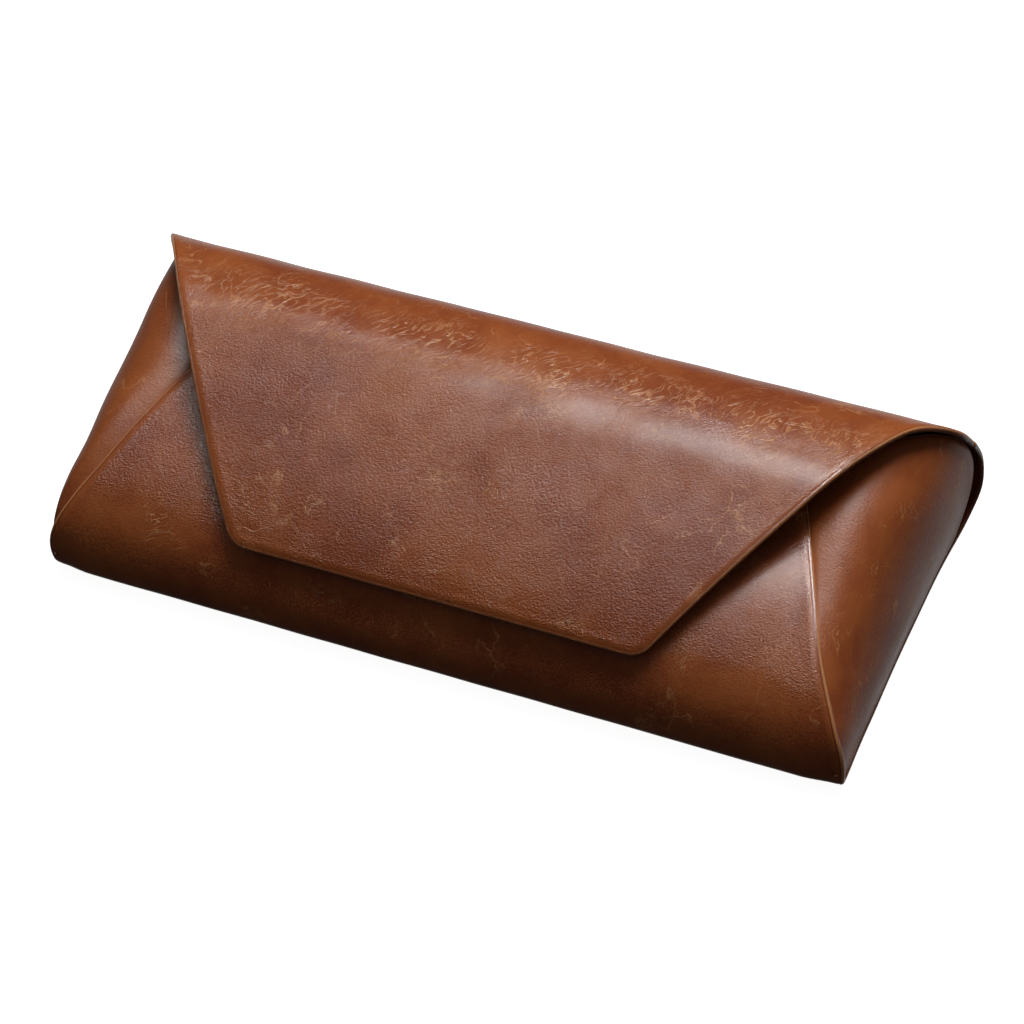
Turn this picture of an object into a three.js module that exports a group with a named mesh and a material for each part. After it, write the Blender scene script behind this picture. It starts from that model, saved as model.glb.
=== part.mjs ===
// Soft-sided eyeglasses case: one leather cover folded round the pocket, two puffed side
// gussets and an envelope flap that rolls over the mouth. It lies on its back panel.
// Millimetres. +X runs along the case, +Y from the bottom fold to the rear roll, +Z up.
import * as THREE from 'three';

// driving dimensions
const REAR_Y = 71.7;            // rearmost line of the roll, measured from the front datum
const FRONT_Y = -0.2;           // foremost line of the bottom fold
const HINGE_Z = 12.9;           // height of the line where the flap starts to bend
const TOP_HALF = 82.5;          // half length of the case at the rear roll
const FLAP_EDGE_HALF = 41.0;    // half length of the flap's straight lower edge
const FLAP_SPREAD = 0.605;      // widening of the flap per mm up from that edge
const FLAP_CORNER_R = 3.5;      // rounded lower corners of the flap
const LEATHER = 1.2;            // cover leather
const FLAP_LEATHER = 1.0;       // flap leather, skived thinner
const BOARD = 0.8;              // fibre board in front and back
const FLAP_BOARD = 0.6;
const PADDING = 1.0;            // sponge under the lining
const LINING = 0.5;
const GAP = 0.3;                // clearance between neighbouring layers
const EDGE_STEP = 1.6;          // layers under the leather stop this far short of its edge
const MAGNET_LENGTH = 22;
const MAGNET_X = 24;            // centre of each magnet bar from the middle

// cover outline, mouth edge of the front panel to the rear hinge line: middle of the case
const COVER_MIDDLE = [
  [46, 33.0], [40, 31.7], [34, 30.1], [28.6, 28.5], [23.6, 26.8], [18.2, 24.7], [13.3, 22.3],
  [8.4, 19.2], [4.9, 16.1], [2.1, 12.4], [0.5, 8.9], [FRONT_Y, 5.2], [0.8, 1.7], [4.0, 0],
  [12, 0], [20, 0], [28, 0], [36, 0], [44, 0], [51, 0], [57, 0],
  [62.2, 0.5], [66.6, 2.2], [69.8, 5.2], [71.4, 9], [REAR_Y, HINGE_Z - GAP],
];
// the same stations at the case's end: [half length, y, z]
const COVER_END = [
  [56.6, 46, 33.0], [59.6, 40, 31.7], [62.5, 34, 30.1], [65.0, 28.6, 28.5], [67.3, 23.6, 26.8],
  [69.7, 18.2, 24.7], [71.9, 13.3, 22.3], [74.7, 8.5, 19.2], [77.0, 5.1, 16.1], [79.0, 2.5, 12.5],
  [80.2, 1.3, 8.9], [80.5, 0.9, 5.2], [80.2, 1.4, 2.0], [79.9, 3.6, 0.5],
  [79.5, 12, 0.2], [79.3, 20, 0], [79.1, 28, 0], [79, 36, 0], [79, 44, 0], [79, 51, 0],
  [79.1, 57, 0], [79.5, 62.2, 0.5], [80.3, 66.6, 2.2], [81.2, 69.8, 5.2], [82.1, 71.4, 9],
  [TOP_HALF, REAR_Y, HINGE_Z - GAP],
];
const FOLD_STATION = 12;        // bottom fold, where front and back edges meet
const BACK_END_STATION = 21;    // where the gusset lets go of the back panel
// where the inner layers begin and end, as stations of the outline
const FRONT_CORE = [0.35, 6.6];         // board and sponge of the front panel
const BACK_CORE = [14.2, 20];           // board and sponge of the back panel
const KEEPER = [6.75, 7.9];             // magnets of the front panel
const POCKET_LINING = [0.2, 24.4];
// flap outline, rear hinge line over the top to the lower edge
const FLAP_PROFILE = [
  [REAR_Y, HINGE_Z], [71.4, 17.2], [69.3, 22.3], [66.0, 27.8], [62.0, 33.5], [57.7, 38.0],
  [53.1, 40.6], [48.3, 41.2], [43.8, 41.1], [39.7, 40.3], [36, 39.0], [32.5, 37.4], [28.9, 35.7],
  [25.5, 34.0], [22.1, 32.2], [18.7, 30.3], [15.7, 28.5], [12.3, 26.3], [9, 23.9], [6, 21.4],
  [3.4, 18.8],
];
const FRONT_BEND_Y = 42.5;      // line on the top roll where the flap's front face starts to lift
const FLAP_BOARD_START = 10;    // the flap's board begins this far down from the bend
const FLAP_BOARD_STOP = 12;     // and stops this far above the lower edge
const FLAP_MAGNET = [10.5, 3.5];        // upper and lower side of the flap's magnets above that edge
// gusset rails from the bottom corner to the mouth: handles added to the two edges
const GUSSET_UPPER_HANDLE = [
  [0.1, 0.1, -0.3], [0.8, 0.7, -0.9], [1.9, 1.6, -1.6], [4.0, 2.5, -1.9], [6.4, 2.6, -1.4],
  [9.0, 2.5, -0.4], [11.8, 2.6, 1.3], [14.5, 3.0, 3.5], [17.2, 3.4, 5.8], [19.8, 4.0, 8.0],
  [22.3, 4.6, 9.0], [24.8, 5.2, 10.4],
];
const GUSSET_LOWER_HANDLE = [
  [-0.1, -0.1, 0.3], [0.3, -0.4, 1.9], [0.7, -0.5, 3.8], [1.2, -0.5, 6.0], [1.8, -0.3, 8.3],
  [2.4, 0.2, 10.5], [3.0, 1.2, 12.6], [3.6, 2.9, 14.9], [4.2, 5.4, 17.2], [4.8, 8.6, 19.2],
  [5.3, 12.3, 21.0], [5.7, 16, 22.2],
];

// materials
function leather(color, roughness) {
  return new THREE.MeshStandardMaterial({ color, roughness, metalness: 0 });
}
const COVER_LEATHER = () => leather(0x7a4226, 0.42);
const GUSSET_LEATHER = () => leather(0x7d4427, 0.45);
const LINING_CLOTH = () => new THREE.MeshStandardMaterial({ color: 0x17120f, roughness: 0.95, metalness: 0 });
const FIBRE_BOARD = () => new THREE.MeshStandardMaterial({ color: 0x8d7a60, roughness: 0.9, metalness: 0 });
const SPONGE = () => new THREE.MeshStandardMaterial({ color: 0x3a3a3c, roughness: 1, metalness: 0 });
const MAGNET_STEEL = () => new THREE.MeshStandardMaterial({ color: 0xb4b6ba, roughness: 0.3, metalness: 1 });

// curves
function curve(points) {
  return new THREE.CatmullRomCurve3(points, false, 'centripetal');
}
function profileCurve(points) {
  return curve(points.map(([y, z]) => new THREE.Vector3(0, y, z)));
}
const coverMiddle = profileCurve(COVER_MIDDLE);
const coverEnd = curve(COVER_END.map(([x, y, z]) => new THREE.Vector3(x, y, z)));
const flapProfile = profileCurve(FLAP_PROFILE);
const FLAP_LENGTH = flapProfile.getLength();

function station(index) {
  return index / (COVER_MIDDLE.length - 1);
}

function smooth(a, b, x) {
  const t = Math.min(Math.max((x - a) / (b - a), 0), 1);
  return t * t * (3 - 2 * t);
}

function mix(a, b, t) {
  return a + (b - a) * t;
}

// a cover point: s runs along the outline, v from -1 to 1 along X, inset narrows the sheet
const PINCH_START = 72;         // the fold keeps its full section up to here
function coverPoint(s, v, inset) {
  const middle = coverMiddle.getPoint(s);
  const end = coverEnd.getPoint(s);
  const x = v * (end.x - inset);
  const e = smooth(PINCH_START, end.x, Math.abs(x));
  return new THREE.Vector3(x, mix(middle.y, end.y, e), Math.max(mix(middle.z, end.z, e), 0));
}

// flap width at arc length a above its lower edge, corners rounded
function flapHalf(a, inset) {
  const straight = FLAP_EDGE_HALF + FLAP_SPREAD * a;
  const blend = 1.5;
  const d = (straight - TOP_HALF) / blend;
  const half = TOP_HALF - blend * Math.log1p(Math.exp(-d));
  const corner = Math.max(FLAP_CORNER_R - a, 0);
  const cut = FLAP_CORNER_R - Math.sqrt(Math.max(FLAP_CORNER_R ** 2 - corner ** 2, 0));
  return Math.min(half, TOP_HALF) - cut * 0.9 - inset;
}

// a flap point: t runs along the profile (arc length fraction), v from -1 to 1
function flapPoint(t, v, inset) {
  const p = flapProfile.getPointAt(t);
  const a = (1 - t) * FLAP_LENGTH;
  return new THREE.Vector3(v * flapHalf(a, inset), p.y, p.z);
}

// a gusset point: u from the bottom corner to the mouth, v from the front crease to the back edge
const RAIL_STEPS = GUSSET_UPPER_HANDLE.length - 1;
const EDGE_CLEAR = 0.45;        // the gusset starts this far outside the cover's edge
const upperHandle = curve(GUSSET_UPPER_HANDLE.map((p) => new THREE.Vector3(...p)));
const lowerHandle = curve(GUSSET_LOWER_HANDLE.map((p) => new THREE.Vector3(...p)));
function gussetPoint(u, v, side) {
  const a = coverEnd.getPoint(mix(station(FOLD_STATION - 0.9), 0, u));
  const d = coverEnd.getPoint(mix(station(FOLD_STATION + 0.6), station(BACK_END_STATION), u));
  a.x += EDGE_CLEAR;
  d.x += EDGE_CLEAR;
  d.z += EDGE_CLEAR;
  const b = upperHandle.getPoint(u).add(a);
  const c = lowerHandle.getPoint(u).add(d);
  const w = 1 - v;
  const p = a.multiplyScalar(w ** 3).addScaledVector(b, 3 * w * w * v);
  p.addScaledVector(c, 3 * w * v * v).addScaledVector(d, v ** 3);
  p.x *= side;
  return p;
}

// one closed sheet, facing OUT or mirrored: point(u, v, depth) gives its outer surface, and the
// sheet lies between the depths near and far
const OUT = 1;
function steps(from, to, count) {
  return Array.from({ length: count + 1 }, (_, i) => mix(from, to, i / count));
}

function surfaceNormal(point, u, v, depth, us, vs) {
  const du = (us.at(-1) - us[0]) * 1e-3;
  const dv = (vs.at(-1) - vs[0]) * 1e-3;
  const along = point(Math.min(u + du, 1), v, depth).sub(point(Math.max(u - du, 0), v, depth));
  const across = point(u, v + dv, depth).sub(point(u, v - dv, depth));
  return along.cross(across).normalize();
}

function sheet(point, us, vs, near, far, outward) {
  const depthAt = (d, u) => (typeof d === 'function' ? d(u) : d);
  const vertices = [];
  const rows = us.length;
  const cols = vs.length;
  for (const d of [near, far]) {
    for (const u of us) {
      for (const v of vs) {
        const depth = depthAt(d, u);
        const n = surfaceNormal(point, u, v, depth, us, vs);
        vertices.push(...point(u, v, depth).addScaledVector(n, -outward * depth).toArray());
      }
    }
  }
  const at = (layer, i, j) => (layer * rows + i) * cols + j;
  const index = [];
  const quad = (a, b, c, d) => (outward > 0 ? index.push(a, b, c, a, c, d) : index.push(a, c, b, a, d, c));
  for (let i = 0; i < rows - 1; i += 1) {
    for (let j = 0; j < cols - 1; j += 1) {
      quad(at(0, i, j), at(0, i + 1, j), at(0, i + 1, j + 1), at(0, i, j + 1));
      quad(at(1, i, j), at(1, i, j + 1), at(1, i + 1, j + 1), at(1, i + 1, j));
    }
    quad(at(0, i, 0), at(1, i, 0), at(1, i + 1, 0), at(0, i + 1, 0));
    quad(at(0, i, cols - 1), at(0, i + 1, cols - 1), at(1, i + 1, cols - 1), at(1, i, cols - 1));
  }
  for (let j = 0; j < cols - 1; j += 1) {
    quad(at(0, 0, j), at(0, 0, j + 1), at(1, 0, j + 1), at(1, 0, j));
    quad(at(0, rows - 1, j), at(1, rows - 1, j), at(1, rows - 1, j + 1), at(0, rows - 1, j + 1));
  }
  const geometry = new THREE.BufferGeometry();
  geometry.setAttribute('position', new THREE.Float32BufferAttribute(vertices, 3));
  geometry.setIndex(index);
  return geometry;
}

const group = new THREE.Group();
group.name = 'eyeglasses_case';
const CENTRE_Y = (REAR_Y + FRONT_Y) / 2;
function add(name, geometry, material) {
  geometry.translate(0, -CENTRE_Y, 0);
  geometry.computeVertexNormals();
  const mesh = new THREE.Mesh(geometry, material);
  mesh.name = name;
  group.add(mesh);
}

// widths along X: fine near the pinched ends
const WIDE = [-1, -0.985, -0.97, -0.95, -0.92, -0.89, -0.4, 0, 0.4, 0.89, 0.92, 0.95, 0.97, 0.985, 1];
const MITRE = 0.9;              // edges slope inward so front, back and gusset layers clear each other

const panel = (extra) => (s, v, depth) => coverPoint(s, v, depth * MITRE + extra);

const ROWS = [
  ...steps(0, station(8), 18), ...steps(station(8.5), station(14), 15), station(17),
  ...steps(station(20), 1, 12),
];
const between = (from, to) => [from, ...ROWS.filter((s) => s > from + 0.004 && s < to - 0.004), to];
function buildCover() {
  add('body_leather', sheet(panel(0), ROWS, WIDE, 0, LEATHER, OUT), COVER_LEATHER());
}

const boardIn = LEATHER + GAP;
const padIn = boardIn + BOARD + GAP;
const liningDeep = padIn + PADDING + GAP;
const liningShallow = LEATHER + GAP;

// the lining hugs the leather round the fold and rises over board and sponge elsewhere
function liningDepth(s) {
  const i = s * (COVER_MIDDLE.length - 1);
  const front = smooth(10, 8, i);
  const back = smooth(12.8, 14.2, i) * smooth(22.5, 20.6, i);
  return mix(liningShallow, liningDeep, Math.max(front, back));
}

function layer(name, [from, to], near, far, material) {
  const rows = between(station(from), station(to));
  add(name, sheet(panel(EDGE_STEP), rows, WIDE, near, far, OUT), material);
}

function buildPocket() {
  for (const [name, range] of [['front', FRONT_CORE], ['back', BACK_CORE]]) {
    layer(`${name}_board`, range, boardIn, boardIn + BOARD, FIBRE_BOARD());
    layer(`${name}_padding`, range, padIn, padIn + PADDING, SPONGE());
  }
  layer('pocket_lining', POCKET_LINING, liningDepth, (s) => liningDepth(s) + LINING, LINING_CLOTH());
}

const bar = (pointAt, side) => (s, v, depth) => {
  const p = pointAt(s, 0, depth);
  p.x = side * MAGNET_X + v * MAGNET_LENGTH / 2;
  return p;
};

function buildKeepers() {
  const rows = steps(station(KEEPER[0]), station(KEEPER[1]), 5);
  for (const [name, side] of [['front_magnet_left', -1], ['front_magnet_right', 1]]) {
    const geometry = sheet(bar(panel(0), side), rows, [-1, 1], boardIn, boardIn + BOARD, OUT);
    add(name, geometry, MAGNET_STEEL());
  }
}

const GUSSET_LEATHER_T = 1.0;
function buildGussets() {
  for (const [name, side] of [['gusset_left', -1], ['gusset_right', 1]]) {
    const at = (u, v, depth) => gussetPoint(u, mix(0.02 + depth * 0.02, 0.985 - depth * 0.02, v), side);
    const us = steps(0.05, 1, 22);
    const vs = steps(0, 1, 16);
    add(name, sheet(at, us, vs, 0, GUSSET_LEATHER_T, -side * OUT), GUSSET_LEATHER());
    const inner = (u, v) => gussetPoint(u, mix(0.14, 0.86, v), side);
    add(`${name.replace('gusset', 'gusset_lining')}`, sheet(inner, steps(0.3, 0.985, 16), steps(0, 1, 12),
      GUSSET_LEATHER_T + GAP, GUSSET_LEATHER_T + GAP + LINING, -side * OUT), LINING_CLOTH());
  }
}

// arc fraction of the flap at the line where its front face starts to lift
function flapFractionAt(y) {
  let t = 0.2;
  while (flapProfile.getPointAt(t).y > y) {
    t += 0.001;
  }
  return t;
}
const BEND = flapFractionAt(FRONT_BEND_Y);
const END = 1 - 1e-4;
const seam = GAP / FLAP_LENGTH;

function buildFlap() {
  const flap = (inset) => (t, v) => flapPoint(t, v, inset);
  const across = steps(-1, 1, 8);
  const bridge = steps(0, BEND, 26);
  const front = [...steps(BEND + seam, 0.955, 20), 0.965, 0.975, 0.985, 0.993, END];
  const inner = FLAP_LEATHER + GAP;
  const bridgeLining = steps(seam, BEND - seam, 26);
  add('flap_roll_leather', sheet(flap(0), bridge, across, 0, FLAP_LEATHER, OUT), COVER_LEATHER());
  add('flap_roll_lining', sheet(flap(EDGE_STEP), bridgeLining, across, inner, inner + LINING, OUT),
    LINING_CLOTH());
  add('flap_front_leather', sheet(flap(0), front, across, 0, FLAP_LEATHER, OUT), COVER_LEATHER());
  const boardRows = steps(BEND + FLAP_BOARD_START / FLAP_LENGTH, 1 - FLAP_BOARD_STOP / FLAP_LENGTH, 16);
  add('flap_board', sheet(flap(EDGE_STEP), boardRows, across, inner, inner + FLAP_BOARD, OUT), FIBRE_BOARD());
  const liningIn = inner + FLAP_BOARD + GAP;
  const low = [...steps(BEND + 3 * seam, 0.955, 18), 0.965, 0.975];
  add('flap_front_lining', sheet(flap(EDGE_STEP), low, across, liningIn, liningIn + LINING, OUT),
    LINING_CLOTH());
  for (const [name, side] of [['flap_magnet_left', -1], ['flap_magnet_right', 1]]) {
    const at = bar((t) => flapPoint(t, 0, 0), side);
    const rows = steps(1 - FLAP_MAGNET[0] / FLAP_LENGTH, 1 - FLAP_MAGNET[1] / FLAP_LENGTH, 4);
    add(name, sheet(at, rows, [-1, 1], inner, inner + FLAP_BOARD, OUT), MAGNET_STEEL());
  }
}

buildCover();
buildPocket();
buildKeepers();
buildGussets();
buildFlap();

export default group;
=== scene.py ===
"""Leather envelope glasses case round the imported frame: cover, gussets, flap, linings, studio."""
import math

import bpy
import numpy as np
from mathutils import Matrix, Vector


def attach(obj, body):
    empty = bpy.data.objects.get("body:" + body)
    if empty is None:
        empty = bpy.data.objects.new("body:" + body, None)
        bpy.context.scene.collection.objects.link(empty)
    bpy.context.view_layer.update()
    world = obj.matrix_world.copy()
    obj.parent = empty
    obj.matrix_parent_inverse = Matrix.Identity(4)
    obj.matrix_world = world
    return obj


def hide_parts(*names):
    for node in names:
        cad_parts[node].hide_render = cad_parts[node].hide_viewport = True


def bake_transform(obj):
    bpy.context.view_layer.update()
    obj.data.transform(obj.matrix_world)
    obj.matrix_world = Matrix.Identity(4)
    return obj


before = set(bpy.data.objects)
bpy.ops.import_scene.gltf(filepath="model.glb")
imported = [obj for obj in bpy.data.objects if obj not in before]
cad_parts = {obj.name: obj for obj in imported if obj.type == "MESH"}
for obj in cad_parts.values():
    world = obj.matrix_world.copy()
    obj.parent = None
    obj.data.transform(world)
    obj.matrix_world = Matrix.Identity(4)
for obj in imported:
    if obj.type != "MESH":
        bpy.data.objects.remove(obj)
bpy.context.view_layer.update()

MM = 0.001
SEED = 7
REAR_Y, FRONT_Y = 71.7, -0.2
CENTRE_Y = (REAR_Y + FRONT_Y) / 2
HINGE_Z = 12.75
TOP_HALF = 82.5
FLAP_EDGE_HALF, FLAP_SPREAD, FLAP_CORNER_R = 41.0, 0.605, 5.2
FRONT_BEND_Y = 42.5
LEATHER, FLAP_LEATHER, GUSSET_LEATHER, LINING = 1.2, 1.1, 1.0, 0.5
PINCH_START = 72.0
EDGE_CLEAR = 0.45
HINGE = 25                      # index of the hinge line in the outline

# outline from the mouth edge of the front panel, round the fold, to the flap's lower edge (y, z)
OUTLINE = np.array([
    (46, 33.0), (40, 31.7), (34, 30.1), (28.6, 28.5), (23.6, 26.8), (18.2, 24.7), (13.3, 22.3),
    (8.4, 19.2), (4.9, 16.1), (2.1, 12.4), (0.5, 8.9), (-0.2, 5.2), (0.8, 1.7), (4.0, 0.0),
    (12, 0), (20, 0), (28, 0), (36, 0), (44, 0), (51, 0), (57, 0), (62.2, 0.5), (66.6, 2.2),
    (69.8, 5.2), (71.4, 9), (71.7, HINGE_Z), (71.4, 17.2), (69.3, 22.3), (66.0, 27.8),
    (62.0, 33.5), (57.7, 38.0), (53.1, 40.6), (48.3, 41.2), (43.8, 41.1), (39.7, 40.3),
    (36, 39.0), (32.5, 37.4), (28.9, 35.7), (25.5, 34.0), (22.1, 32.2), (18.7, 30.3),
    (15.7, 28.5), (12.3, 26.3), (9, 23.9), (6, 21.4), (3.4, 18.8)], float)
# the same stations at the end of the case, up to the hinge line (half length, y, z)
END = np.array([
    (56.6, 46, 33.0), (59.6, 40, 31.7), (62.5, 34, 30.1), (65.0, 28.6, 28.5), (67.3, 23.6, 26.8),
    (69.7, 18.2, 24.7), (71.9, 13.3, 22.3), (74.7, 8.5, 19.2), (77.0, 5.1, 16.1),
    (79.0, 2.5, 12.5), (80.2, 1.3, 8.9), (80.5, 0.9, 5.2), (80.2, 1.4, 2.0), (79.9, 3.6, 0.5),
    (79.5, 12, 0.2), (79.3, 20, 0), (79.1, 28, 0), (79, 36, 0), (79, 44, 0), (79, 51, 0),
    (79.1, 57, 0), (79.5, 62.2, 0.5), (80.3, 66.6, 2.2), (81.2, 69.8, 5.2), (82.1, 71.4, 9),
    (82.5, 71.7, HINGE_Z)], float)
UPPER_HANDLE = np.array([
    (0.1, 0.1, -0.3), (0.8, 0.7, -0.9), (1.9, 1.6, -1.6), (4.0, 2.5, -1.9), (6.4, 2.6, -1.4),
    (9.0, 2.5, -0.4), (11.8, 2.6, 1.3), (14.5, 3.0, 3.5), (17.2, 3.4, 5.8), (19.8, 4.0, 8.0),
    (22.3, 4.6, 9.0), (24.8, 5.2, 10.4)], float)
LOWER_HANDLE = np.array([
    (-0.1, -0.1, 0.3), (0.3, -0.4, 1.9), (0.7, -0.5, 3.8), (1.2, -0.5, 6.0), (1.8, -0.3, 8.3),
    (2.4, 0.2, 10.5), (3.0, 1.2, 12.6), (3.6, 2.9, 14.9), (4.2, 5.4, 17.2), (4.8, 8.6, 19.2),
    (5.3, 12.3, 21.0), (5.7, 16, 22.2)], float)


# ---------------------------------------------------------------- curves
class Spline:
    """Natural cubic through points at the given knots, any number of coordinates."""

    def __init__(self, knots, points):
        self.k, self.p = np.asarray(knots, float), np.asarray(points, float)
        n, h = len(self.k), np.diff(self.k)
        a = np.eye(n)
        b = np.zeros_like(self.p)
        for i in range(1, n - 1):
            a[i, i - 1:i + 2] = h[i - 1], 2 * (h[i - 1] + h[i]), h[i]
            b[i] = 6 * ((self.p[i + 1] - self.p[i]) / h[i] - (self.p[i] - self.p[i - 1]) / h[i - 1])
        self.m, self.h = np.linalg.solve(a, b), h

    def __call__(self, t):
        t = np.asarray(t, float)
        i = np.clip(np.searchsorted(self.k, t, side="right") - 1, 0, len(self.h) - 1)
        h, u, w = self.h[i], self.k[i + 1] - t, t - self.k[i]
        if self.p.ndim > 1:
            h, u, w = h[..., None], u[..., None], w[..., None]
        m0, m1, p0, p1 = self.m[i], self.m[i + 1], self.p[i], self.p[i + 1]
        return (m0 * u ** 3 + m1 * w ** 3) / (6 * h) + (p0 / h - m0 * h / 6) * u + (p1 / h - m1 * h / 6) * w


def smooth(a, b, x):
    t = np.clip((np.asarray(x, float) - a) / (b - a), 0, 1)
    return t * t * (3 - 2 * t)


def mix(a, b, t):
    return a + (b - a) * t


KNOTS = np.concatenate([[0], np.cumsum(np.linalg.norm(np.diff(OUTLINE, axis=0), axis=1))])
SOFTEN = 1.6


def softened(points):
    """The spline through points, sampled finely and smoothed, so highlights run evenly."""
    fine = np.linspace(KNOTS[0], KNOTS[-1], 2400)
    raw = Spline(KNOTS, points)(fine)
    step = fine[1] - fine[0]
    reach = int(4 * SOFTEN / step)
    kernel = np.exp(-0.5 * (np.arange(-reach, reach + 1) * step / SOFTEN) ** 2)
    kernel /= kernel.sum()

    def blurred(rows):
        head = 2 * rows[0] - rows[1:reach + 1][::-1]
        tail = 2 * rows[-1] - rows[-reach - 1:-1][::-1]
        padded = np.concatenate([head, rows, tail])
        return np.stack([np.convolve(padded[:, c], kernel, "valid") for c in range(rows.shape[1])], 1)

    return fine, blurred(2 * raw - blurred(raw))     # the second pass gives back what tight bends lose


LINE_T, LINE = softened(OUTLINE)
end_full = np.column_stack([np.full(len(OUTLINE), TOP_HALF), OUTLINE])
end_full[:HINGE + 1] = END
_, END_LINE = softened(end_full)
ARC = np.concatenate([[0], np.cumsum(np.linalg.norm(np.diff(LINE, axis=0), axis=1))])


def at_arc(table, a):
    """A row of the softened tables at arc length a from the mouth edge, straight on beyond the ends."""
    a = np.asarray(a, float)
    inside = np.clip(a, ARC[0], ARC[-1])
    out = np.stack([np.interp(inside, ARC, table[:, c]) for c in range(table.shape[1])], -1)
    slope_in = (table[1] - table[0]) / (ARC[1] - ARC[0])
    slope_out = (table[-1] - table[-2]) / (ARC[-1] - ARC[-2])
    return out + np.minimum(a - ARC[0], 0)[..., None] * slope_in \
        + np.maximum(a - ARC[-1], 0)[..., None] * slope_out


def station_arc(index):
    return np.interp(np.interp(index, np.arange(len(KNOTS)), KNOTS), LINE_T, ARC)


A_HINGE = float(station_arc(HINGE))
A_SEAM = A_HINGE + 14.5
A_END = float(ARC[-1])
bend_row = np.argmin(np.where(ARC > A_HINGE + 20, np.abs(LINE[:, 0] - FRONT_BEND_Y), 1e9))
A_BEND = float(ARC[bend_row])


def undulation(x, y, seed, waves, low, high):
    """A smooth random height from -1 to 1: a seeded sum of sine waves, wavelengths low to high mm."""
    r = np.random.default_rng(seed)
    out = np.zeros_like(x, float)
    for _ in range(waves):
        angle, length, phase = r.uniform(0, math.pi), r.uniform(low, high), r.uniform(0, 2 * math.pi)
        out += np.sin(2 * math.pi * (x * math.cos(angle) + y * math.sin(angle)) / length + phase)
    return out / math.sqrt(waves) * 0.7


# ---------------------------------------------------------------- surfaces in mm, Y from the front
def cover_point(x, a):
    """Outer surface of the cover at length x and arc a."""
    line, end = at_arc(LINE, a), at_arc(END_LINE, a)
    e = smooth(0, 1, (np.abs(x) - PINCH_START) / np.maximum(end[..., 0] - PINCH_START, 1e-3))
    y = mix(line[..., 0], end[..., 1], e)
    z = np.maximum(mix(line[..., 1], end[..., 2], e), 0)
    return np.stack([x, y, z], -1)


def cover_half(a):
    return at_arc(END_LINE, a)[..., 0]


SLANT = math.hypot(1, FLAP_SPREAD)
CORNER_X = FLAP_EDGE_HALF - FLAP_CORNER_R * math.tan(math.atan(1 / FLAP_SPREAD) / 2)


def flap_half(d, inset=0.0):
    """Half length of the flap at distance d above its lower edge, its outline moved in by inset."""
    straight = FLAP_EDGE_HALF + FLAP_SPREAD * d - inset * SLANT
    soft = 1.5
    widest = TOP_HALF - inset
    half = widest - soft * np.log1p(np.exp(-(straight - widest) / soft))
    arc = CORNER_X + np.sqrt(np.maximum((FLAP_CORNER_R - inset) ** 2 - (FLAP_CORNER_R - d) ** 2, 0))
    in_corner = d < FLAP_CORNER_R - (FLAP_CORNER_R - inset) * FLAP_SPREAD / SLANT
    return np.where(in_corner, arc, half)


def flap_edge_distance(x, d):
    """Distance inside the flap's rounded outline at length x and height d above its lower edge."""
    x = np.abs(x)
    out = np.minimum(np.minimum(d, (FLAP_EDGE_HALF + FLAP_SPREAD * d - x) / SLANT), TOP_HALF - x)
    dx, dd = x - CORNER_X, d - FLAP_CORNER_R
    in_corner = (dx > 0) & (dx * FLAP_SPREAD + dd < 0)
    return np.where(in_corner, FLAP_CORNER_R - np.hypot(dx, dd), out)


def flap_point(x, a):
    line = at_arc(LINE, a)
    return np.stack([x, line[..., 0], line[..., 1]], -1)


RAIL = np.linspace(0, 1, len(UPPER_HANDLE))
upper_handle, lower_handle = Spline(RAIL, UPPER_HANDLE), Spline(RAIL, LOWER_HANDLE)


def end_station(index):
    return at_arc(END_LINE, station_arc(index))


def gusset_point(u, v):
    """Outer surface of the right gusset: u from the bottom corner to the mouth, v from crease to back."""
    rise = smooth(0.0, 0.3, u)[..., None]
    a = end_station(mix(11.1, 0.0, u)) - mix(1.1, 0.95, rise) * [1, 0, 0] - rise * [0, 0, 0.35]
    d = end_station(mix(12.6, 21.0, u)) + [-0.35, 0, EDGE_CLEAR]
    mouth = smooth(0.55, 1.0, u)[..., None]
    b = a + upper_handle(u) + mouth * [0.6, 0.3, 3.0]
    c = d + lower_handle(u) + mouth * [0.5, 1.6, 1.2]
    w, v = (1 - v)[..., None], v[..., None]
    return a * w ** 3 + b * 3 * w * w * v + c * 3 * w * v * v + d * v ** 3


# ---------------------------------------------------------------- meshes
def grid_normals(p, sign):
    du = np.gradient(p, axis=0)
    dv = np.gradient(p, axis=1)
    n = np.cross(du, dv) * sign
    return n / np.maximum(np.linalg.norm(n, axis=2, keepdims=True), 1e-9)


def unit(v):
    return v / np.maximum(np.linalg.norm(v, axis=-1, keepdims=True), 1e-9)


def graded(lo, hi, step, edge, finest=0.12):
    """Positions from lo to hi, fine near both ends and step apart in the middle."""
    near, d, s = [0.0], 0.0, finest
    while d < edge:
        d += s
        s = min(s * 1.35, step)
        near.append(d)
    near = np.array(near)
    n = max(2, int(round((hi - lo - 2 * near[-1]) / step)))
    return np.concatenate([lo + near, np.linspace(lo + near[-1], hi - near[-1], n + 1)[1:-1],
                           (hi - near)[::-1]])


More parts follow.
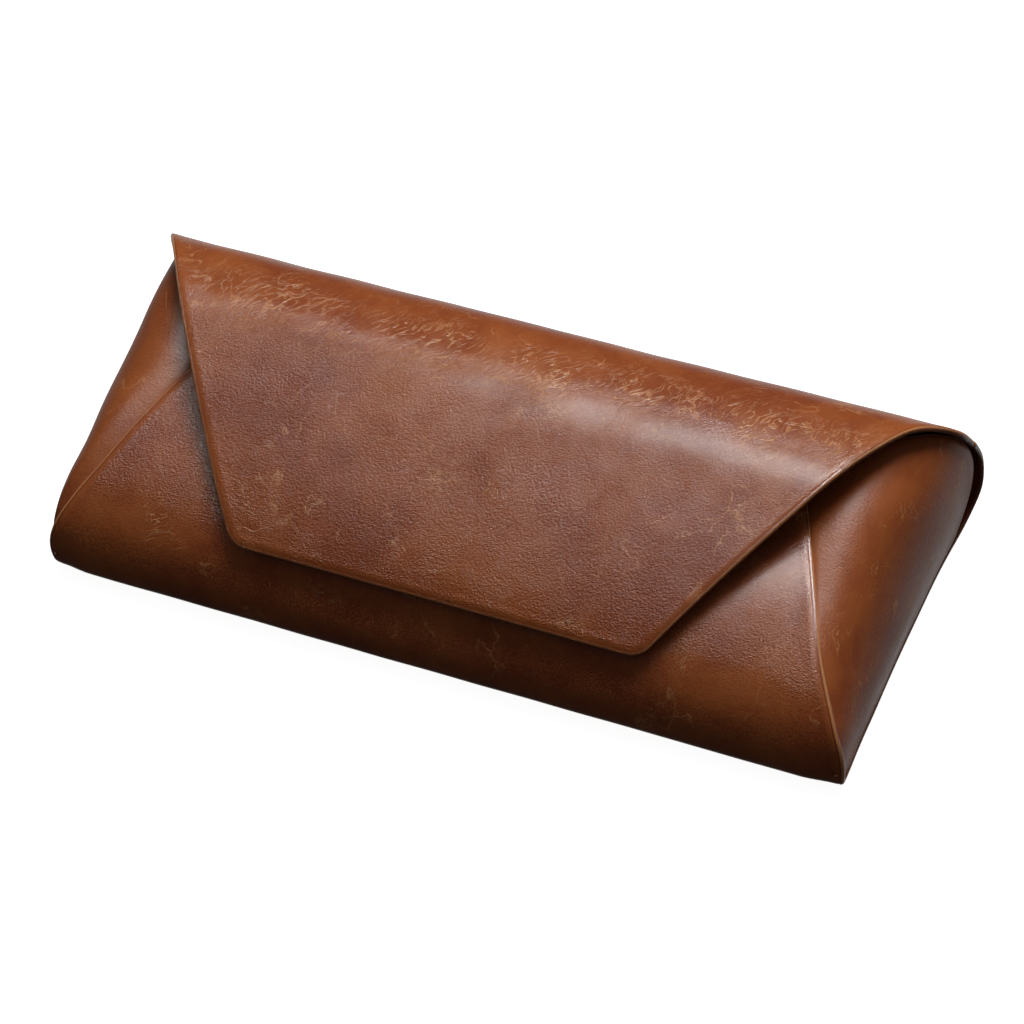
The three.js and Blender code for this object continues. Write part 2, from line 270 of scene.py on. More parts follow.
def shell(name, p, flat, edge, sign, thick, rounded, turns=6, bulge=1.0):
    """A closed sheet: p is the outer grid in mm, thick its thickness. rounded says which of its sides
    (first row, last row, first column, last column) end in a rolled edge; the others are cut square,
    as at a seam. Saves flat, edge and turn for the materials."""
    rows, cols = p.shape[:2]
    n = grid_normals(p, sign)
    thick = np.broadcast_to(np.asarray(thick, float), (rows, cols))
    inner = p - n * thick[..., None]
    ring = [(0, j) for j in range(cols)] + [(i, cols - 1) for i in range(1, rows)]
    ring += [(rows - 1, j) for j in range(cols - 2, -1, -1)] + [(i, 0) for i in range(rows - 2, 0, -1)]
    ri, rj = np.array(ring).T
    rim, rn = p[ri, rj], n[ri, rj]
    out = unit(np.cross(rn, np.roll(rim, -1, 0) - np.roll(rim, 1, 0))) * sign
    plain = [(not rounded[k]) & hit for k, hit in enumerate(
        (ri == 0, ri == rows - 1, rj == 0, rj == cols - 1))]
    sides = (rj == 0) & rounded[2], (rj == cols - 1) & rounded[3]
    ends = (ri == 0) & rounded[0], (ri == rows - 1) & rounded[1]
    across = np.where(sides[0][:, None], p[ri, 0] - p[ri, 1], 0) + \
        np.where(sides[1][:, None], p[ri, -1] - p[ri, -2], 0)
    onward = np.where(ends[0][:, None], p[0, rj] - p[1, rj], 0) + \
        np.where(ends[1][:, None], p[-1, rj] - p[-2, rj], 0)
    on_plain = plain[0] | plain[1] | plain[2] | plain[3]
    out = np.where(on_plain[:, None], across + onward, out)
    out -= (out * rn).sum(1, keepdims=True) * rn
    long_enough = np.linalg.norm(out, axis=1, keepdims=True) > 1e-6
    out = np.where(long_enough, unit(out), 0)
    verts = [p.reshape(-1, 3), inner.reshape(-1, 3)]
    flats = [flat.reshape(-1, 3), flat.reshape(-1, 3)]
    edges = [edge.ravel(), edge.ravel()]
    turn = [np.zeros(rows * cols), np.ones(rows * cols)]
    half = thick[ri, rj][:, None] / 2
    for k in range(1, turns):
        angle = math.pi * k / turns
        verts.append(p[ri, rj] - rn * half * (1 - math.cos(angle)) + out * half * bulge * math.sin(angle))
        flats.append(flat[ri, rj] + [0, 0, 0.4 * k])
        edges.append(np.zeros(len(ring)))
        turn.append(np.full(len(ring), k / turns))
    verts = np.concatenate(verts)
    first = np.arange(rows * cols).reshape(rows, cols)
    top = first[ri, rj]
    loops = [top] + [2 * rows * cols + (k - 1) * len(ring) + np.arange(len(ring)) for k in range(1, turns)]
    loops.append(top + rows * cols)
    a, b = first[:-1, :-1].ravel(), first[1:, :-1].ravel()
    c, d = first[1:, 1:].ravel(), first[:-1, 1:].ravel()
    front, back = np.stack([a, b, c, d], 1), np.stack([a, d, c, b], 1) + rows * cols
    faces = [front, back]
    for k in range(turns):
        lo, hi = loops[k], loops[k + 1]
        faces.append(np.stack([lo, np.roll(lo, -1), np.roll(hi, -1), hi], 1))
    faces = np.concatenate(faces)
    if sign < 0:
        faces = faces[:, ::-1]
    wall = on_plain & np.roll(on_plain, -1)          # the cut of a seam is shaded flat
    soft = np.ones(len(faces), bool)
    soft[2 * len(a):] = np.tile(~wall, turns)
    flats, edges, turn = (np.concatenate(rows) for rows in (flats, edges, turn))
    return build(name, verts, faces, flats, edges, turn, soft)


def build(name, verts, faces, flat, edge, turn, soft):
    me = bpy.data.meshes.new(name)
    placed = (verts - [0, CENTRE_Y, 0]) * MM
    me.from_pydata(placed.tolist(), [], faces.tolist())
    me.update()
    for key, kind, values in (("flat", "FLOAT_VECTOR", flat), ("edge", "FLOAT", edge),
                              ("turn", "FLOAT", turn)):
        data = me.attributes.new(key, kind, "POINT").data
        data.foreach_set("vector" if kind == "FLOAT_VECTOR" else "value",
                         np.asarray(values, np.float32).ravel())
    me.polygons.foreach_set("use_smooth", soft)
    ob = bpy.data.objects.new(name, me)
    bpy.context.scene.collection.objects.link(ob)
    return ob


def edge_relief(d, depth):
    """Height of the pressed line and soft crown that run inside a turned leather edge."""
    groove = -depth * np.exp(-((d - 0.7) / 0.2) ** 2)
    crown = 0.06 * np.exp(-((d - 1.7) / 0.8) ** 2)
    fall = -0.08 * (1 - smooth(0, 0.6, d))
    return groove + crown + fall


def leather_relief(x, a, seed):
    return 0.07 * undulation(x, a, seed, 9, 9, 26) + 0.05 * undulation(x, a, seed + 1, 7, 28, 70)


# ---------------------------------------------------------------- pieces of the case
ROLLED, PLAIN = True, False


def columns(step=1.0):
    reach = 80.0
    return graded(-reach, reach, step, 5.0) / reach


def cover_piece():
    """Front panel, fold, back panel and the roll up to the seam, one sheet of leather."""
    half_t = LEATHER / 2
    a = graded(half_t, A_SEAM, 0.9, 4.0)
    a = a[a < A_SEAM - 0.4]
    a = np.append(a, A_SEAM)
    v = columns()
    half = cover_half(a)
    x = v[None, :] * (half - half_t)[:, None]
    arc = np.repeat(a[:, None], len(v), 1)
    p = cover_point(x, arc)
    side = half[:, None] - np.abs(x)
    edge = np.minimum(side, arc)
    lift = smooth(0.2, 3.0, p[..., 2])
    height = lift * (leather_relief(x, arc, SEED) + edge_relief(edge, 0.05))
    p = p + grid_normals(p, 1) * height[..., None]
    flat = np.stack([x, arc, np.zeros_like(x)], -1)
    thick = mix(LEATHER, FLAP_LEATHER, smooth(A_HINGE, A_SEAM, arc))
    return shell("cover_leather", p, flat, edge, 1, thick, (ROLLED, PLAIN, ROLLED, ROLLED))


def flap_piece():
    """The rest of the roll and the flap's front face, down to its lower edge."""
    half_t = FLAP_LEATHER / 2
    turn = np.linspace(0, math.acos(FLAP_SPREAD / SLANT), 11)
    corner = FLAP_CORNER_R - (FLAP_CORNER_R - half_t) * np.cos(turn)
    a = np.concatenate([graded(A_SEAM, A_END - corner[-1], 0.8, 0.6), (A_END - corner[:-1])[::-1]])
    a = a[(a > A_SEAM + 0.4) | (a <= A_SEAM)]
    v = columns(0.9)
    x = v[None, :] * flap_half(A_END - a, half_t)[:, None]
    arc = np.repeat(a[:, None], len(v), 1)
    p = flap_point(x, arc)
    edge = flap_edge_distance(x, A_END - arc)
    depth = mix(0.05, 0.07, smooth(A_SEAM, A_SEAM + 6, arc))
    height = leather_relief(x, arc, SEED) + edge_relief(edge, depth)
    p = p + grid_normals(p, 1) * height[..., None]
    flat = np.stack([x, arc, np.zeros_like(x)], -1)
    rounded = (PLAIN, ROLLED, ROLLED, ROLLED)
    return shell("flap_leather", p, flat, edge, 1, FLAP_LEATHER, rounded, bulge=0.6)


def gusset_grid(u_from, u_to, v_from, v_to, nu, nv, side):
    u = mix(u_from, u_to, graded(0, nu, 1.0, 3.0) / nu)
    v = mix(v_from, v_to, graded(0, nv, 1.0, 3.0) / nv)
    uu, vv = np.meshgrid(u, v, indexing="ij")
    p = gusset_point(uu, vv)
    p[..., 0] *= side
    return uu, vv, p


def gusset_piece(name, side):
    uu, vv, p = gusset_grid(0.02, 0.995, 0.012, 0.985, 60, 50, side)
    sign = -side
    flat = np.stack([vv * 48 + 300 * side, uu * 62, np.zeros_like(uu)], -1)
    edge = np.minimum(np.minimum(vv, 1 - vv) * 46, (1 - uu) * 60) + 0.3
    soft = smooth(0.0, 0.15, vv) * (1 - smooth(0.85, 1.0, vv)) * smooth(0.02, 0.2, uu)
    if side < 0:            # this end stands a little fuller near the mouth
        fuller = 2.1 * np.exp(-((uu - 0.42) / 0.26) ** 2)
        p = p + grid_normals(p, sign) * (fuller * soft)[..., None]
    bump = 0.3 * undulation(uu * 62, vv * 48, SEED + 11 + side, 7, 14, 40) * soft
    p = p + grid_normals(p, sign) * (bump + edge_relief(edge, 0.06))[..., None]
    return shell(name, p, flat, edge, sign, GUSSET_LEATHER, (ROLLED, ROLLED, ROLLED, ROLLED))


def lining_depth(arc):
    """How deep the pocket lining lies under the cover's outer surface."""
    shallow, deep = LEATHER + 0.2, 3.9
    i = np.interp(np.interp(arc, ARC, LINE_T), KNOTS, np.arange(len(KNOTS)))
    front = 1 - smooth(8, 10, i)
    back = smooth(12.8, 14.2, i) * (1 - smooth(20.6, 22.5, i))
    depth = mix(shallow, deep, np.maximum(front, back))
    return mix(LEATHER + 0.1, depth, smooth(0.4, 1.9, arc))


def cloth(ob, p, *under):
    """Measures a lining's cut size along and across its own grid p, and gives the lining back."""
    across = np.linalg.norm(np.diff(p, axis=1), axis=2).sum(1).max() * MM
    along_it = np.linalg.norm(np.diff(p, axis=0), axis=2).sum(0).max() * MM
    return ob


def pocket_lining_piece():
    a = np.append(graded(0.9, A_SEAM - 0.6, 1.3, 3.0), A_SEAM)
    v = columns(1.6)
    depth = lining_depth(a)
    half = cover_half(a) - 1.5 - 0.9 * depth - 4.0 * smooth(A_HINGE - 4, A_HINGE + 6, a)
    x = v[None, :] * half[:, None]
    arc = np.repeat(a[:, None], len(v), 1)
    p = cover_point(x, arc)
    n = grid_normals(p, 1)
    wave = 0.12 * undulation(x, arc, SEED + 30, 8, 10, 40)
    p = p - n * (depth[:, None] + 0.12 + wave)[..., None]
    flat = np.stack([x, arc, np.zeros_like(x)], -1)
    edge = np.minimum(half[:, None] - np.abs(x), arc)
    ob = shell("pocket_lining_cloth", p, flat, edge, 1, LINING, (ROLLED, PLAIN, ROLLED, ROLLED))
    return cloth(ob, p, "cover_leather")


def flap_lining_piece():
    """Lining of the roll's front half and of the flap, raised over the board."""
    gap = 0.9
    a = np.concatenate([[A_SEAM], graded(A_SEAM + 0.6, A_END - gap, 1.2, 3.0)])
    v = columns(1.6)
    down = A_END - a
    half = flap_half(down) - mix(6.5, gap, smooth(A_BEND + 2, A_BEND + 10, a))
    x = v[None, :] * half[:, None]
    arc = np.repeat(a[:, None], len(v), 1)
    rim = np.minimum((half[:, None] - np.abs(x)), (A_END - gap - arc))
    over_board = smooth(A_BEND + 5, A_BEND + 10, arc) * smooth(0.2, 1.4, rim)
    depth = FLAP_LEATHER + 0.15 + over_board * 1.0
    p = flap_point(x, arc)
    p = p - grid_normals(p, 1) * depth[..., None]
    flat = np.stack([x, arc, np.zeros_like(x)], -1)
    ob = shell("flap_lining_cloth", p, flat, rim, 1, LINING, (PLAIN, ROLLED, ROLLED, ROLLED))
    return cloth(ob, p, "flap_leather")


def gusset_lining_piece(name, side):
    uu, vv, p = gusset_grid(0.14, 0.985, 0.06, 0.94, 40, 36, side)
    sign = -side
    n = grid_normals(p, sign)
    wave = 0.1 * undulation(uu * 62, vv * 48, SEED + 40 + side, 7, 10, 30)
    p = p - n * (GUSSET_LEATHER + 0.2 + 0.12 + wave)[..., None]
    flat = np.stack([vv * 48 + 300 * side, uu * 62, np.zeros_like(uu)], -1)
    edge = np.minimum(np.minimum(vv - 0.06, 0.94 - vv) * 46, (0.985 - uu) * 60)
    ob = shell(name, p, flat, edge, sign, LINING, (ROLLED, ROLLED, ROLLED, ROLLED))
    return cloth(ob, p, name.replace("cloth", "leather"))


def padding_piece(name, first, last):
    """A sheet of sponge between board and lining, its edges rounded."""
    a = graded(float(station_arc(first)), float(station_arc(last)), 2.0, 2.0)
    v = columns(2.5)
    near, thick = 2.6, 1.0
    half = cover_half(a) - 1.9 - 0.9 * near
    x = v[None, :] * half[:, None]
    arc = np.repeat(a[:, None], len(v), 1)
    p = cover_point(x, arc)
    p = p - grid_normals(p, 1) * near
    flat = np.stack([x, arc, np.zeros_like(x)], -1)
    edge = half[:, None] - np.abs(x)
    ob = shell(name, p, flat, edge, 1, thick, (ROLLED, ROLLED, ROLLED, ROLLED), turns=4)
    return ob


# ---------------------------------------------------------------- materials
class Graph:
    """A small helper round one node tree."""

    def __init__(self, tree):
        self.tree = tree
        tree.nodes.clear()

    def add(self, kind, ins=None, **props):
        node = self.tree.nodes.new(kind)
        for key, value in props.items():
            setattr(node, key, value)
        for key, value in (ins or {}).items():
            self.put(node.inputs[key], value)
        return node

    def put(self, socket, value):
        if isinstance(value, bpy.types.NodeSocket):
            self.tree.links.new(value, socket)
        else:
            socket.default_value = value

    def math(self, operation, *values):
        node = self.add("ShaderNodeMath", operation=operation)
        for i, value in enumerate(values):
            self.put(node.inputs[i], value)
        return node.outputs[0]

    def vector(self, operation, *values):
        node = self.add("ShaderNodeVectorMath", operation=operation)
        for i, value in enumerate(values):
            self.put(node.inputs[i], value)
        return node.outputs[0]

    def attribute(self, name):
        return self.add("ShaderNodeAttribute", attribute_name=name)

    def noise(self, at, scale, detail=2.0, rough=0.5, distortion=0.0):
        node = self.add("ShaderNodeTexNoise", {"Vector": at, "Scale": scale, "Detail": detail,
                                               "Roughness": rough, "Distortion": distortion})
        return node.outputs["Fac"]

    def step(self, value, low, high, to_low=0.0, to_high=1.0):
        node = self.add("ShaderNodeMapRange", {"Value": value, "From Min": low, "From Max": high,
                                               "To Min": to_low, "To Max": to_high},
                        interpolation_type="SMOOTHSTEP")
        return node.outputs[0]

    def blend(self, fac, a, b):
        node = self.add("ShaderNodeMix", data_type="RGBA", blend_type="MIX")
        for index, value in ((0, fac), (6, a), (7, b)):
            self.put(node.inputs[index], value)
        return node.outputs[2]

    def rotated(self, at, degrees, stretch):
        """Coordinates whose pattern is drawn out by stretch along axes turned by degrees."""
        node = self.add("ShaderNodeMapping", {"Vector": at, "Rotation": (0, 0, math.radians(degrees)),
                                              "Scale": stretch}, vector_type="TEXTURE")
        return node.outputs[0]


def material(name):
    mat = bpy.data.materials.new(name)
    mat.use_nodes = True
    return mat, Graph(mat.node_tree)


def finish_material(g, shader):
    out = g.add("ShaderNodeOutputMaterial")
    g.tree.links.new(shader.outputs[0], out.inputs["Surface"])


ORANGE = (0.47, 0.128, 0.034, 1)
RED = (0.30, 0.062, 0.021, 1)
PALE = (0.85, 0.40, 0.17, 1)
DEEP = (0.14, 0.030, 0.011, 1)
FLESH = (0.060, 0.032, 0.020, 1)


def leather_material(name, grain_amount=1.0, wrinkle_band=None, satin=0.0):
    """Waxed pull-up leather: mottled colour, fine grain, creases that lighten with a painted highlight on
    them, burnished edges with painted shade in the groove and beneath, and a painted highlight on the outer
    line.
    """
    mat, g = material(name)
    at = g.attribute("flat").outputs["Vector"]
    edge = g.attribute("edge").outputs["Fac"]
    turn = g.attribute("turn").outputs["Fac"]
    # slow drift of the pattern, so no feature runs straight
    drift = g.add("ShaderNodeTexNoise", {"Vector": at, "Scale": 0.07, "Detail": 2.0})
    shift = g.vector("SUBTRACT", drift.outputs["Color"], (0.5, 0.5, 0.5))
    scaled = g.add("ShaderNodeVectorMath", operation="SCALE")
    g.put(scaled.inputs[0], shift)
    scaled.inputs["Scale"].default_value = 9.0
    warped = g.vector("ADD", at, scaled.outputs[0])
    # colour
    large = g.noise(warped, 0.035, 4.0, 0.55)
    medium = g.noise(warped, 0.16, 5.0, 0.6)
    fine = g.noise(at, 1.3, 3.0, 0.6)
    tone = g.math("ADD", g.math("MULTIPLY", large, 0.62), g.math("MULTIPLY", medium, 0.38))
    base = g.blend(g.step(tone, 0.36, 0.64), RED, ORANGE)
    base = g.blend(g.step(medium, 0.52, 0.80, 0.0, 0.22), base, DEEP)
    base = g.blend(g.math("MULTIPLY", g.step(fine, 0.35, 0.7), 0.22), base, ORANGE)
    # long thin veins where the wax has parted: level lines of a slow noise, broken up
    vein = 0.0
    for shift_by, scale in (((11, 3, 0), 0.050), ((47, 29, 0), 0.085)):
        level = g.noise(g.vector("ADD", warped, shift_by), scale, 4.0, 0.5, 0.4)
        line = g.step(g.math("ABSOLUTE", g.math("SUBTRACT", level, 0.5)), 0.0, scale * 0.16, 1.0, 0.0)
        where = g.step(g.noise(g.vector("ADD", at, shift_by), 0.06, 3.0, 0.6), 0.52, 0.66)
        vein = g.math("MAXIMUM", vein, g.math("MULTIPLY", line, where))
    vein = g.math("MULTIPLY", vein, g.step(fine, 0.30, 0.62, 0.25, 1.0))
    # short slanting creases
    slant = g.rotated(warped, -48, (4.5, 1.0, 1))
    ridge = g.math("ABSOLUTE", g.math("SUBTRACT", g.noise(slant, 1.0, 2.0, 0.5, 0.3), 0.5))
    crease = g.step(ridge, 0.0, 0.045, 1.0, 0.0)
    crease_where = g.step(g.noise(at, 0.075, 3.0, 0.6), 0.56, 0.72)
    if wrinkle_band:
        low, high = wrinkle_band
        arc = g.add("ShaderNodeSeparateXYZ", {"Vector": warped}).outputs["Y"]
        mid, reach = (low + high) / 2, (high - low) / 2
        away = g.math("ABSOLUTE", g.math("SUBTRACT", arc, mid))
        band = g.step(away, reach * 0.4, reach * 1.5, 1.0, 0.0)
        band = g.math("MULTIPLY", band, g.step(g.noise(at, 0.05, 2.0), 0.34, 0.56, 0.15, 1.0))
        crease_where = g.math("MAXIMUM", crease_where, band)
        stretched = g.math("MULTIPLY", g.step(arc, 38.0, 46.0), g.step(arc, mid - 4, high, 1.0, 0.0))
    crease = g.math("MULTIPLY", crease, crease_where)
    lines = g.math("MAXIMUM", g.math("MULTIPLY", vein, 0.9), g.math("MULTIPLY", crease, 0.8))
    # pale lines: the wax lightens along veins and creases, and is brightened further as a painted highlight
    # on the wrinkles, most of all in the band round the flap's bend
    base = g.blend(g.math("MULTIPLY", lines, 0.75), base, PALE)
    # burnished, smoother border, and an outermost line made pale by edge paint and a painted highlight
    border = g.step(edge, 1.3, 2.4, 1.0, 0.0)
    base = g.blend(g.math("MULTIPLY", border, 0.5), base, ORANGE)
    # painted shade: the pressed groove inside the edge is darkened towards DEEP
    groove = g.step(g.math("ABSOLUTE", g.math("SUBTRACT", edge, 0.6)), 0.03, 0.2, 1.0, 0.0)
    base = g.blend(g.math("MULTIPLY", groove, 0.75), base, DEEP)
    # pale outermost line: edge paint, with a painted highlight on the lit rounded corner
    rim = g.step(edge, 0.12, 0.42, 1.0, 0.0)
    base = g.blend(g.math("MULTIPLY", rim, 0.6), base, PALE)
    # painted shade: the lower half of each rolled edge and the sheet's inner face are darkened towards DEEP,
    # as the shadow under an edge
    under = g.math("MULTIPLY", g.step(turn, 0.28, 0.5), 0.8)
    base = g.blend(under, base, DEEP)
    inside = g.math("MULTIPLY", g.step(turn, 0.35, 0.75), g.step(edge, 2.0, 3.5))
    base = g.blend(inside, base, FLESH)
    # height in millimetres
    fibres = g.rotated(g.vector("ADD", at, shift), -30, (1.4, 0.9, 1))
    cells = g.add("ShaderNodeTexVoronoi", {"Vector": fibres, "Scale": 2.9, "Randomness": 1.0,
                                           "Smoothness": 0.6}, feature="SMOOTH_F1")
    pebble = g.math("SUBTRACT", 1.0, cells.outputs["Distance"])
    pores = g.noise(fibres, 4.4, 3.0, 0.65)
    even = g.step(g.noise(at, 0.12, 3.0), 0.3, 0.7, 0.7, 1.1)
    if wrinkle_band:        # round the folds the leather is pulled smooth
        even = g.math("MULTIPLY", even, g.step(stretched, 0.0, 1.0, 1.0, 0.25))
    grain = g.math("ADD", g.math("MULTIPLY", pebble, 0.11), g.math("MULTIPLY", pores, 0.15))
    grain = g.math("MULTIPLY", grain, g.math("MULTIPLY", even, grain_amount))
    grain = g.math("MULTIPLY", grain, g.step(edge, 0.8, 2.2, 0.15, 1.0))
    height = g.math("ADD", grain, g.math("MULTIPLY", crease, 0.07))
    height = g.math("ADD", height, g.math("MULTIPLY", vein, 0.03))
    height = g.math("ADD", height, g.math("MULTIPLY", medium, 0.12))
    bump = g.add("ShaderNodeBump", {"Height": height, "Strength": 1.0, "Distance": MM})
    rough = g.step(medium, 0.3, 0.7, 0.23 + satin, 0.30 + satin)
    rough = g.math("ADD", rough, g.math("MULTIPLY", lines, 0.06))
    rough = g.math("ADD", rough, g.math("MULTIPLY", inside, 0.4))
    shader = g.add("ShaderNodeBsdfPrincipled", {"Base Color": base, "Roughness": rough,
                                                "Normal": bump.outputs[0]})
    shader.inputs["Specular IOR Level"].default_value = 0.3 - satin
    shader.inputs["Coat Weight"].default_value = 0.12 - 0.5 * satin
    shader.inputs["Coat Roughness"].default_value = 0.22 + satin
    finish_material(g, shader)
    return mat


def lining_material():
    """Near-black brushed cloth with a fine twill."""
    mat, g = material("lining_cloth")
    at = g.attribute("flat").outputs["Vector"]
    twill = g.add("ShaderNodeTexWave", {"Vector": g.rotated(at, 45, (1, 1, 1)), "Scale": 0.55,
                                        "Distortion": 0.6, "Detail": 2.0}, wave_type="BANDS")
    fuzz = g.noise(at, 4.0, 4.0, 0.7)
    patch = g.noise(at, 0.12, 3.0, 0.6)
    tone = g.math("ADD", g.math("MULTIPLY", fuzz, 0.6), g.math("MULTIPLY", patch, 0.4))
    base = g.blend(g.step(tone, 0.3, 0.7), (0.010, 0.008, 0.007, 1), (0.040, 0.031, 0.026, 1))
    height = g.math("ADD", g.math("MULTIPLY", twill.outputs["Fac"], 0.05), g.math("MULTIPLY", fuzz, 0.05))
    bump = g.add("ShaderNodeBump", {"Height": height, "Strength": 0.8, "Distance": MM})
    rough = g.step(fuzz, 0.2, 0.8, 0.82, 0.97)
    shader = g.add("ShaderNodeBsdfPrincipled", {"Base Color": base, "Roughness": rough,
                                                "Normal": bump.outputs[0]})
    shader.inputs["Sheen Weight"].default_value = 0.25
    shader.inputs["Sheen Roughness"].default_value = 0.5
    finish_material(g, shader)
    return mat


def core_material(name, dark, light, scale, rough, metal=0.0, stretch=(1, 1, 1)):
    """Board, sponge and magnet steel: hidden parts, each with its own grain."""
    mat, g = material(name)
    at = g.add("ShaderNodeTexCoord").outputs["Object"]
    at = g.rotated(at, 0, tuple(s / MM for s in stretch))
    fibre = g.noise(at, scale, 5.0, 0.65)
    base = g.blend(g.step(fibre, 0.3, 0.7), dark, light)
    bump = g.add("ShaderNodeBump", {"Height": fibre, "Strength": 0.6, "Distance": 0.05 * MM})
    shader = g.add("ShaderNodeBsdfPrincipled", {"Base Color": base, "Normal": bump.outputs[0],
                                                "Roughness": g.step(fibre, 0.2, 0.8, rough - 0.1, rough)})
    shader.inputs["Metallic"].default_value = metal
    finish_material(g, shader)
    return mat


def dress(ob, mat):
    ob.data.materials.clear()
    ob.data.materials.append(mat)


# ---------------------------------------------------------------- build
cover = cover_piece()
flap = flap_piece()
gussets = {"left": gusset_piece("gusset_leather_left", -1), "right": gusset_piece("gusset_leather_right", 1)}
pocket = pocket_lining_piece()
flap_cloth = flap_lining_piece()
gusset_cloth = {"left": gusset_lining_piece("gusset_cloth_left", -1),
                "right": gusset_lining_piece("gusset_cloth_right", 1)}
front_pad = padding_piece("front_sponge", 0.5, 6.4)
back_pad = padding_piece("back_sponge", 14.4, 19.8)

cover_skin = leather_material("cover_leather", 1.0, (A_END - 53, A_END - 40))
gusset_skin = leather_material("gusset_leather", 0.45, satin=0.13)
cloth = lining_material()
board = core_material("fibre_board", (0.16, 0.11, 0.07, 1), (0.30, 0.22, 0.14, 1), 1.2, 0.95)
sponge = core_material("sponge", (0.02, 0.02, 0.022, 1), (0.06, 0.06, 0.065, 1), 2.5, 1.0)
steel = core_material("magnet_steel", (0.35, 0.35, 0.36, 1), (0.6, 0.6, 0.62, 1), 0.8, 0.4, 1.0, (1, 12, 1))

dress(cover, cover_skin)
dress(flap, cover_skin)
for ob in gussets.values():
    dress(ob, gusset_skin)
for ob in (pocket, flap_cloth, *gusset_cloth.values()):
    dress(ob, cloth)
for ob in (front_pad, back_pad):
    dress(ob, sponge)
for name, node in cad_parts.items():
    if name.endswith("board"):
        dress(node, board)
    if "magnet" in name:
        dress(node, steel)


TOP_BEND = ((0, FRONT_BEND_Y - CENTRE_Y + 6.5, 41), (0, FRONT_BEND_Y - CENTRE_Y - 6.5, 41))
TOP_BEND = tuple(tuple(c * MM for c in point) for point in TOP_BEND)
for ob, nodes in ((cover, ("body_leather", "flap_roll_leather")),
                  (pocket, ("pocket_lining", "flap_roll_lining"))):
    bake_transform(ob)
    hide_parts(*nodes)
for ob, node in ((flap, "flap_front_leather"), (flap_cloth, "flap_front_lining")):
    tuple(TOP_BEND[0])
    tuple(TOP_BEND[1])
    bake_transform(ob)
    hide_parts(node)
for side in ("left", "right"):
    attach(gussets[side], "body")
    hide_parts(f"gusset_{side}")
    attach(gusset_cloth[side], "body")
    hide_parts(f"gusset_lining_{side}")
for ob, node in ((front_pad, "front_padding"), (back_pad, "back_padding")):
    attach(ob, "body")
    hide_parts(node)


# ---------------------------------------------------------------- studio
# lights: place, aim and size in metres, power in watts; world: brightness of its three zones
KEY_BOX = (-0.06, 0.04, 0.60), (-0.06, 0.04, 0.0), (0.22, 0.15), 5.6    # gloss on the flap's bend
FILL_BOX = (0.06, 0.24, 0.66), (0, 0, 0), (0.40, 0.30), 3.0             # from above and behind
DOME, RIM, AMBIENT = 0.16, 0.55, 0.028
# camera: azimuth, elevation and roll in degrees, target and distance in mm
CAMERA_ANGLES = 28.694, 47.325, -6.912
CAMERA_TARGET = 2.255, -1.716, 12.089
CAMERA_DISTANCE = 715.635
CAMERA_LENS, SENSOR_WIDTH = 134.01, 36.0


def floor_material():
    mat, g = material("pale_floor")
    at = g.add("ShaderNodeTexCoord").outputs["Object"]
    base = g.blend(g.noise(at, 3.0, 2.0), (0.50, 0.50, 0.505, 1), (0.52, 0.52, 0.52, 1))
    shader = g.add("ShaderNodeBsdfPrincipled", {"Base Color": base})
    shader.inputs["Roughness"].default_value = 0.9
    shader.inputs["Specular IOR Level"].default_value = 0.1
    shader.inputs["Emission Color"].default_value = (1, 1, 1, 1)
    shader.inputs["Emission Strength"].default_value = 0.95
    finish_material(g, shader)
    return mat


def make_floor():
    size = 4.0
    me = bpy.data.meshes.new("floor")
    corners = [(-size, -size, 0), (size, -size, 0), (size, size, 0), (-size, size, 0)]
    me.from_pydata(corners, [], [(0, 1, 2, 3)])
    floor = bpy.data.objects.new("floor", me)
    floor.location.z = -0.0003
    bpy.context.scene.collection.objects.link(floor)
    me.materials.append(floor_material())
    floor.visible_glossy = False
    floor.visible_diffuse = False


def softbox(name, at, aim, size, power):
    light = bpy.data.lights.new(name, "AREA")
    light.shape = "RECTANGLE"
    light.size, light.size_y = size
    light.energy = power
    ob = bpy.data.objects.new(name, light)
    bpy.context.scene.collection.objects.link(ob)
    ob.location = at
    ob.rotation_euler = (Vector(aim) - Vector(at)).to_track_quat("-Z", "Y").to_euler()
    return ob


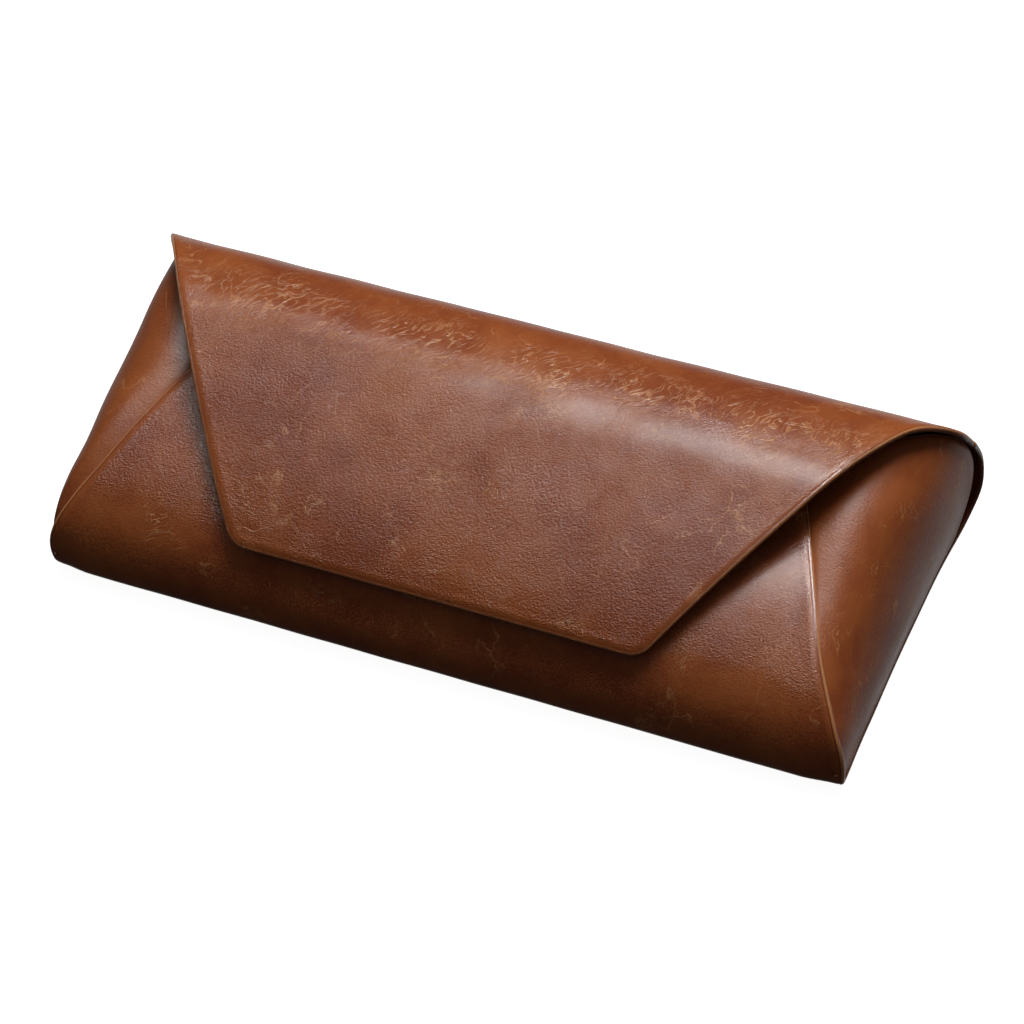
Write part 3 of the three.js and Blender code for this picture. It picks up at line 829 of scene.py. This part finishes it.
def make_world():
    world = bpy.data.worlds.new("studio")
    bpy.context.scene.world = world
    world.use_nodes = True
    g = Graph(world.node_tree)
    at = g.add("ShaderNodeTexCoord").outputs["Generated"]
    parts = g.add("ShaderNodeSeparateXYZ", {"Vector": at})
    y, z = parts.outputs["Y"], parts.outputs["Z"]
    dome = g.math("MULTIPLY", g.step(z, 0.56, 0.76), g.step(y, 0.42, 0.66, 1.0, 0.0))
    rim = g.math("MULTIPLY", g.step(y, 0.1, 0.5), g.step(z, -0.6, 0.0, 1.0, 0.0))
    value = g.math("ADD", g.math("MULTIPLY", dome, DOME), g.math("MULTIPLY", rim, RIM))
    value = g.math("ADD", value, AMBIENT)
    seen = g.add("ShaderNodeLightPath").outputs["Is Camera Ray"]
    value = g.math("ADD", g.math("MULTIPLY", value, g.math("SUBTRACT", 1.0, seen)), seen)
    back = g.add("ShaderNodeBackground", {"Color": (1, 1, 1, 1), "Strength": value})
    out = g.add("ShaderNodeOutputWorld")
    g.tree.links.new(back.outputs[0], out.inputs["Surface"])


def make_camera():
    """The view of the picture: 47 degrees above the horizon, from the front right, a long lens."""
    azimuth, elevation, roll = (math.radians(d) for d in CAMERA_ANGLES)
    target = Vector(CAMERA_TARGET) * MM
    back = Vector((math.sin(azimuth) * math.cos(elevation), -math.cos(azimuth) * math.cos(elevation),
                   math.sin(elevation)))
    cam = bpy.data.cameras.new("camera")
    cam.lens, cam.sensor_width = CAMERA_LENS, SENSOR_WIDTH
    cam.clip_start, cam.clip_end = 0.01, 50
    ob = bpy.data.objects.new("camera", cam)
    bpy.context.scene.collection.objects.link(ob)
    ob.location = target + back * CAMERA_DISTANCE * MM
    ob.rotation_mode = "QUATERNION"
    turn = (-back).to_track_quat("-Z", "Y")
    ob.rotation_quaternion = turn @ Matrix.Rotation(roll, 3, "Z").to_quaternion()
    bpy.context.scene.camera = ob
    return ob


make_floor()
make_world()
make_camera()
softbox("key_box", *KEY_BOX).visible_diffuse = False
softbox("fill_box", *FILL_BOX).visible_glossy = False
bpy.context.scene.view_settings.view_transform = "Standard"
